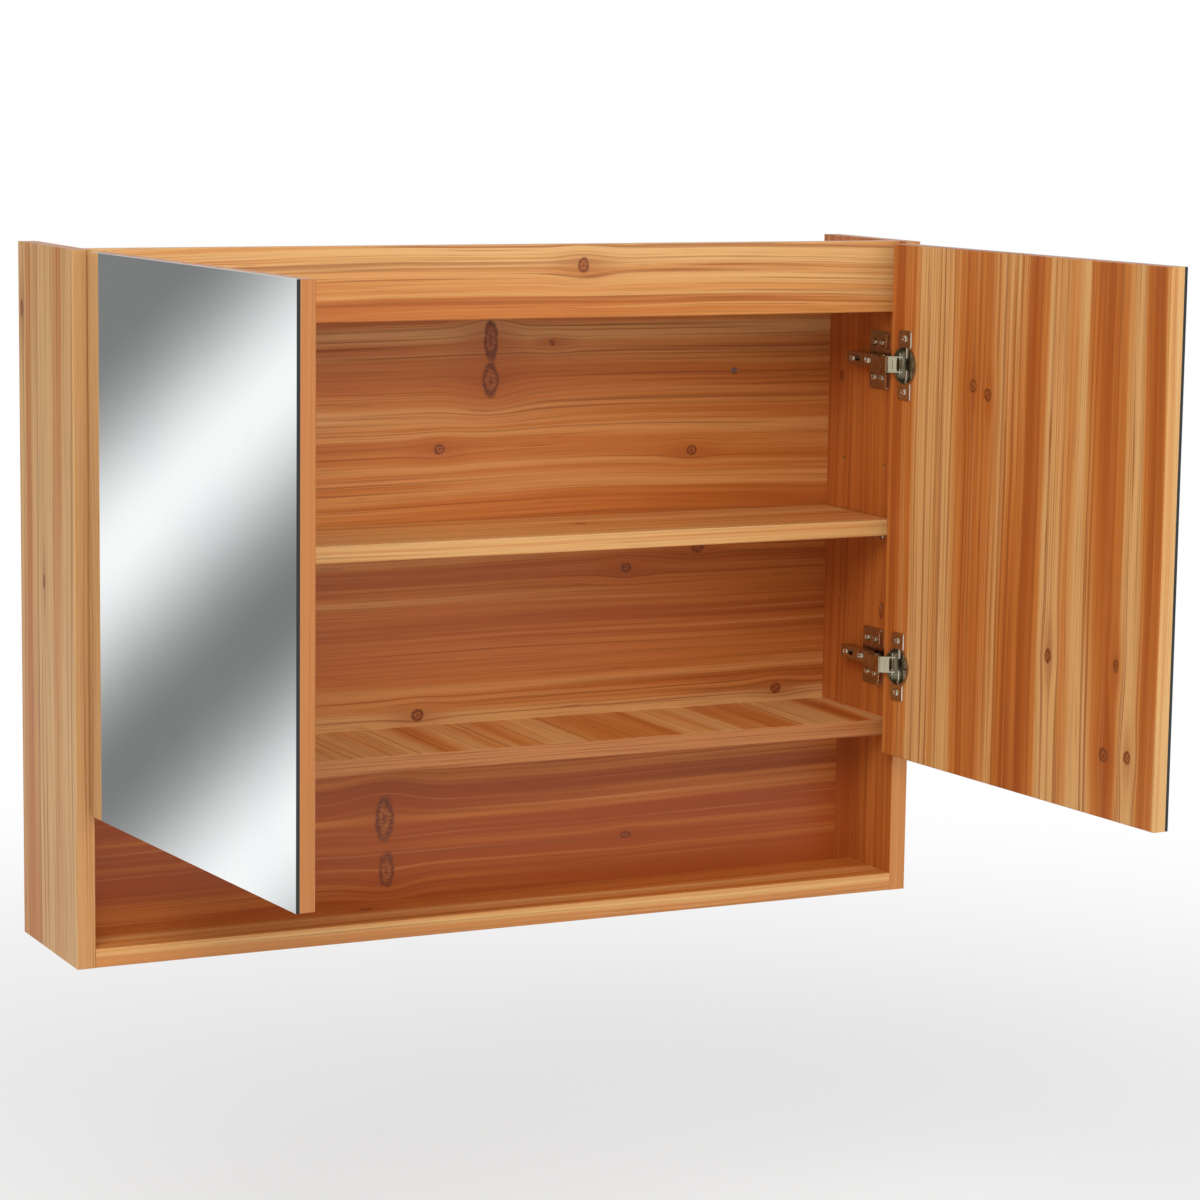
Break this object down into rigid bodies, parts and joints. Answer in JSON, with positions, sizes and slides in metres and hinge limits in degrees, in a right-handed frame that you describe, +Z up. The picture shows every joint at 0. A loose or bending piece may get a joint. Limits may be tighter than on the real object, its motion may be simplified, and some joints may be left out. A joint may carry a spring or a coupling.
{
  "type": "mirror cabinet",
  "caption": "Wall-hung pine cabinet with two mirror doors on concealed hinges, an adjustable shelf and an open shelf below the doors.",
  "frame": {"origin": "midway between the two wall screw holes, on the rear face of the back panel", "axes": "+X to the viewer's right, +Y from the doors to the wall, +Z up"},
  "size_m": [0.8133, 0.5512, 0.6],
  "materials": {
    "pine": "oiled knotty pine, satin",
    "beech": "raw",
    "mirror_glass": "silvered float glass",
    "hinge_nickel": "nickel plated",
    "screw_steel": "nickel plated",
    "pin_steel": "ground",
    "shelf_pin_metal": "nickel plated"
  },
  "bodies": {
    "root": {"adjustable_shelf": "pine", "arm_ring_screws": "screw_steel", "arm_tail_screws": "screw_steel", "bottom_panel": "pine", "fixed_shelf": "pine", "front_top_rail": "pine", "hinge_arm_pins": "pin_steel", "left_corner_batten": "pine", "left_lower_hinge_arm": "hinge_nickel", "left_lower_mounting_plate": "hinge_nickel", "left_side_panel": "pine", "left_upper_hinge_arm": "hinge_nickel", "left_upper_mounting_plate": "hinge_nickel", "lower_back_panel": "pine", "plate_screws": "screw_steel", "right_corner_batten": "pine", "right_lower_hinge_arm": "hinge_nickel", "right_lower_mounting_plate": "hinge_nickel", "right_side_panel": "pine", "right_upper_hinge_arm": "hinge_nickel", "right_upper_mounting_plate": "hinge_nickel", "shelf_pins": "shelf_pin_metal", "top_panel": "pine", "upper_back_panel": "pine", "wooden_dowels": "beech"},
    "left_inner_links": {"left_lower_inner_link": "hinge_nickel", "left_upper_inner_link": "hinge_nickel"},
    "left_outer_links": {"left_lower_outer_link": "hinge_nickel", "left_upper_outer_link": "hinge_nickel"},
    "left_door": {"left_cup_pins": "pin_steel", "left_cup_screws": "screw_steel", "left_door_panel": "pine", "left_lower_hinge_cup": "hinge_nickel", "left_mirror": "mirror_glass", "left_upper_hinge_cup": "hinge_nickel"},
    "right_inner_links": {"right_lower_inner_link": "hinge_nickel", "right_upper_inner_link": "hinge_nickel"},
    "right_outer_links": {"right_lower_outer_link": "hinge_nickel", "right_upper_outer_link": "hinge_nickel"},
    "right_door": {"right_cup_pins": "pin_steel", "right_cup_screws": "screw_steel", "right_door_panel": "pine", "right_lower_hinge_cup": "hinge_nickel", "right_mirror": "mirror_glass", "right_upper_hinge_cup": "hinge_nickel"}
  },
  "joints": [
    {"name": "left_door_hinge", "type": "hinge", "parent": "left_inner_links", "child": "left_door", "pos_m": [-0.37532, -0.16245, 0], "axis": [0, 0, -1], "range_deg": [-119.54, 19.46]},
    {"name": "left_inner_link_pivot", "type": "hinge", "parent": "root", "child": "left_inner_links", "pos_m": [-0.3712, -0.135, 0], "axis": [0, 0, -1], "range_deg": [-5.51, 33.59]},
    {"name": "left_outer_link_pivot", "type": "hinge", "parent": "root", "child": "left_outer_links", "pos_m": [-0.3655, -0.148, 0], "axis": [0, 0, -1], "range_deg": [-3.87, 23.53]},
    {"name": "right_door_hinge", "type": "hinge", "parent": "right_inner_links", "child": "right_door", "pos_m": [0.37382, -0.16263, 0], "axis": [0, 0, 1], "range_deg": [-130.66, 8.34]},
    {"name": "right_inner_link_pivot", "type": "hinge", "parent": "root", "child": "right_inner_links", "pos_m": [0.3712, -0.135, 0], "axis": [0, 0, 1], "range_deg": [-2.39, 36.71]},
    {"name": "right_outer_link_pivot", "type": "hinge", "parent": "root", "child": "right_outer_links", "pos_m": [0.3655, -0.148, 0], "axis": [0, 0, 1], "range_deg": [-1.69, 25.71]}
  ],
  "couplings": [
    {"joint": "left_inner_link_pivot", "follows": "left_door_hinge", "ratio": -0.28058},
    {"joint": "left_outer_link_pivot", "follows": "left_door_hinge", "ratio": -0.1964},
    {"joint": "right_inner_link_pivot", "follows": "right_door_hinge", "ratio": -0.28058},
    {"joint": "right_outer_link_pivot", "follows": "right_door_hinge", "ratio": -0.1964}
  ]
}
